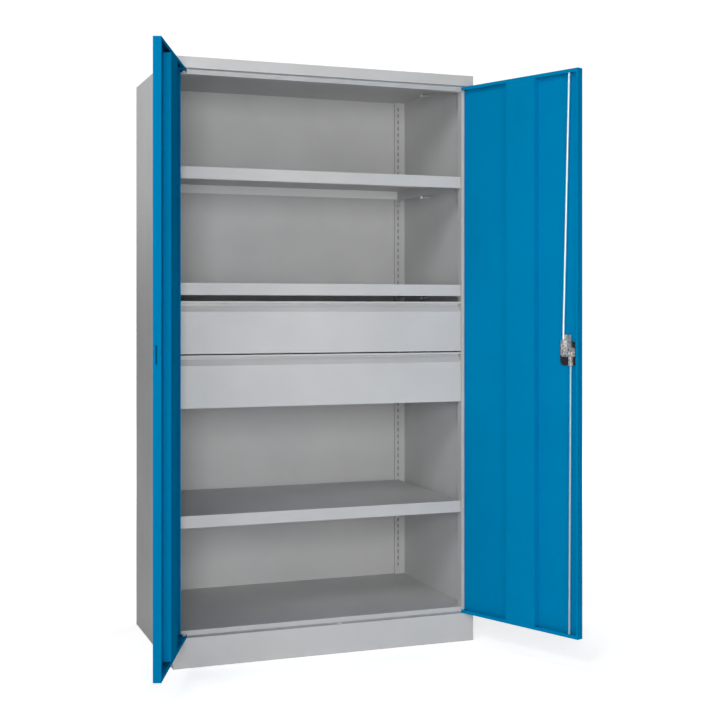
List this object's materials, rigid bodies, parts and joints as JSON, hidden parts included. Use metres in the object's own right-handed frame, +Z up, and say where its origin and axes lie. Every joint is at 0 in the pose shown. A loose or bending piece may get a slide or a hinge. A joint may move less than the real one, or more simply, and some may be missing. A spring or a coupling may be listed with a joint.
{
  "type": "storage cabinet",
  "caption": "Heavy-duty steel cabinet with two hinged doors, three-point rod lock, shelves and full-width drawers on telescopic runners.",
  "frame": {"origin": "middle of the cabinet's width on the floor, 30 mm behind the common front plane of band, plinth and closed doors", "axes": "+X to the right as seen from the front, +Y to the back, +Z up"},
  "size_m": [1.3876, 1.0959, 1.95],
  "materials": {
    "carcass_paint": "fine powder coat, satin",
    "shelf_zinc": "galvanised sheet, matt",
    "door_paint": "fine powder coat, satin",
    "drawer_paint": "fine powder coat, satin",
    "runner_steel": "zinc plated",
    "rod_zinc": "bright zinc plated",
    "cam_zinc": "zinc plated",
    "lock_black": "moulded, fine grain",
    "guide_black": "moulded",
    "stud_steel": "bright zinc plated",
    "pivot_steel": "zinc plated",
    "cylinder_chrome": "polished"
  },
  "bodies": {
    "root": {"side_panel_left": "carcass_paint", "side_panel_right": "carcass_paint", "rear_panel": "carcass_paint", "top_panel": "carcass_paint", "top_rail": "carcass_paint", "plinth": "carcass_paint", "floor_pan": "carcass_paint", "floor_stiffener": "carcass_paint", "front_post_left": "carcass_paint", "front_post_right": "carcass_paint", "rear_upright_left": "carcass_paint", "rear_upright_right": "carcass_paint", "shelf_upper": "shelf_zinc", "shelf_middle": "shelf_zinc", "shelf_lower": "shelf_zinc", "shelf_stiffeners": "shelf_zinc", "shelf_clips": "pivot_steel", "shelf_studs": "stud_steel", "door_pivots": "pivot_steel", "drawer_supports": "shelf_zinc", "runner_cabinet_upper": "runner_steel", "runner_cabinet_lower": "runner_steel"},
    "right_door": {"door_panel_right": "door_paint", "door_frame_right": "door_paint", "door_stiffener_right": "door_paint", "hinge_plates_right": "door_paint", "pivot_bushes_right": "guide_black", "rod_guides": "guide_black", "lock_case": "lock_black", "handle_plate": "lock_black"},
    "left_door": {"door_panel_left": "door_paint", "door_frame_left": "door_paint", "door_stiffener_left": "door_paint", "hinge_plates_left": "door_paint", "pivot_bushes_left": "guide_black"},
    "turn_handle": {"handle_grip": "lock_black", "handle_spindle": "rod_zinc", "cam_plate": "cam_zinc", "cam_studs": "rod_zinc"},
    "lock_cylinder": {"key_cylinder": "cylinder_chrome"},
    "upper_locking_rod": {"upper_rod": "rod_zinc"},
    "lower_locking_rod": {"lower_rod": "rod_zinc"},
    "upper_drawer": {"drawer_front_upper": "drawer_paint", "drawer_base_upper": "shelf_zinc", "drawer_side_left_upper": "shelf_zinc", "drawer_side_right_upper": "shelf_zinc", "drawer_back_upper": "shelf_zinc", "runner_drawer_upper": "runner_steel"},
    "upper_runner_middle": {"runner_middle_upper": "runner_steel"},
    "lower_drawer": {"drawer_front_lower": "drawer_paint", "drawer_base_lower": "shelf_zinc", "drawer_side_left_lower": "shelf_zinc", "drawer_side_right_lower": "shelf_zinc", "drawer_back_lower": "shelf_zinc", "runner_drawer_lower": "runner_steel"},
    "lower_runner_middle": {"runner_middle_lower": "runner_steel"}
  },
  "joints": [
    {"name": "right_door_hinge", "type": "hinge", "parent": "root", "child": "right_door", "pos_m": [0.4975, -0.0235, 1], "axis": [0, 0, 1], "range_deg": [-112.5, 0]},
    {"name": "left_door_hinge", "type": "hinge", "parent": "root", "child": "left_door", "pos_m": [-0.4975, -0.0235, 1], "axis": [0, 0, -1], "range_deg": [-110.8, 2]},
    {"name": "upper_drawer_slide", "type": "slide", "parent": "root", "child": "upper_drawer", "axis": [0, -1, 0], "range_m": [0, 0.45]},
    {"name": "lower_drawer_slide", "type": "slide", "parent": "root", "child": "lower_drawer", "axis": [0, -1, 0], "range_m": [0, 0.45]},
    {"name": "upper_runner_slide", "type": "slide", "parent": "root", "child": "upper_runner_middle", "axis": [0, -1, 0], "range_m": [0, 0.225]},
    {"name": "lower_runner_slide", "type": "slide", "parent": "root", "child": "lower_runner_middle", "axis": [0, -1, 0], "range_m": [0, 0.225]},
    {"name": "handle_turn", "type": "hinge", "parent": "right_door", "child": "turn_handle", "pos_m": [0.67456, -0.43399, 1.004], "axis": [0.9239, 0.3827, 0], "range_deg": [0, 90]},
    {"name": "cylinder_turn", "type": "hinge", "parent": "turn_handle", "child": "lock_cylinder", "pos_m": [0.67456, -0.43399, 1.004], "axis": [0.9239, 0.3827, 0], "range_deg": [0, 90]},
    {"name": "upper_rod_pivot", "type": "hinge", "parent": "turn_handle", "child": "upper_locking_rod", "pos_m": [0.65431, -0.4256, 1.004], "axis": [0.9239, 0.3827, 0], "range_deg": [-91.02, 0]},
    {"name": "lower_rod_pivot", "type": "hinge", "parent": "turn_handle", "child": "lower_locking_rod", "pos_m": [0.66618, -0.45424, 1.004], "axis": [0.9239, 0.3827, 0], "range_deg": [-91.04, 0]}
  ],
  "couplings": [
    {"joint": "upper_runner_slide", "follows": "upper_drawer_slide", "ratio": 0.5},
    {"joint": "lower_runner_slide", "follows": "lower_drawer_slide", "ratio": 0.5},
    {"joint": "upper_rod_pivot", "follows": "handle_turn", "ratio": -1.0108},
    {"joint": "lower_rod_pivot", "follows": "handle_turn", "ratio": -1.011}
  ]
}
